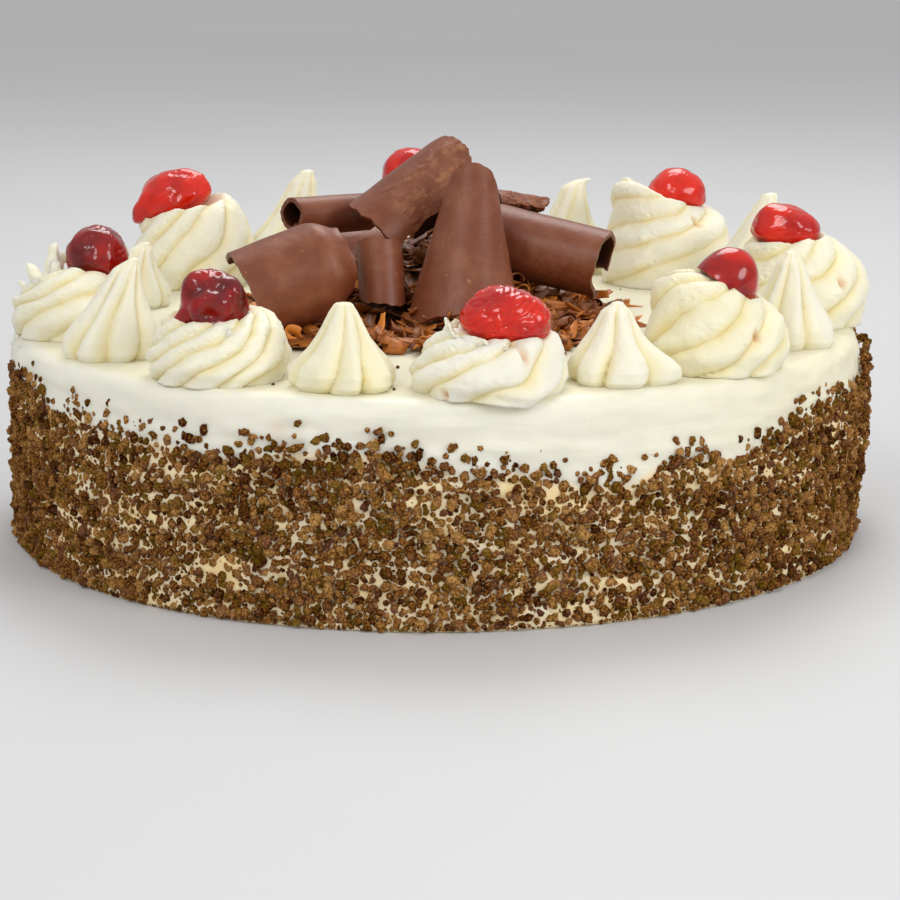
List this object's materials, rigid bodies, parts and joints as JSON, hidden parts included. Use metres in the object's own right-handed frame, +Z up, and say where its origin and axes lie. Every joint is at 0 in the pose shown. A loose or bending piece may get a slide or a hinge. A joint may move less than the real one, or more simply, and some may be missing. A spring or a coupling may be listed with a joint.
{
  "type": "black forest cake",
  "caption": "Round black forest cake with white cream, a chocolate crumb side, piped cream, candied cherries and a heap of chocolate curls.",
  "frame": {"origin": "middle of the flat base", "axes": "+Z up through the middle of the cake, front towards -Y"},
  "size_m": [0.2394, 0.2392, 0.1077],
  "materials": {
    "crumb_coat": "dry chocolate cake crumbs pressed into white cream",
    "cream": "soft piped whipped cream, warm white",
    "cherry": "glossy candied cherry, red",
    "chocolate": "satin milk chocolate",
    "shavings": "loose chocolate shavings"
  },
  "bodies": {
    "root": {"cake": "crumb_coat", "cherry_1": "cherry", "cherry_2": "cherry", "cherry_3": "cherry", "cherry_4": "cherry", "cherry_5": "cherry", "cherry_6": "cherry", "cherry_7": "cherry", "cherry_8": "cherry", "curl_back": "chocolate", "curl_back_left": "chocolate", "curl_front": "chocolate", "curl_left": "chocolate", "curl_post": "chocolate", "curl_prop": "chocolate", "curl_ridge": "chocolate", "curl_right": "chocolate", "curl_roll": "chocolate", "curl_slab": "chocolate", "kiss_1": "cream", "kiss_2": "cream", "kiss_3": "cream", "kiss_4": "cream", "kiss_5": "cream", "kiss_6": "cream", "kiss_7": "cream", "kiss_8": "cream", "rosette_1": "cream", "rosette_2": "cream", "rosette_3": "cream", "rosette_4": "cream", "rosette_5": "cream", "rosette_6": "cream", "rosette_7": "cream", "rosette_8": "cream", "shavings": "shavings"}
  },
  "joints": []
}
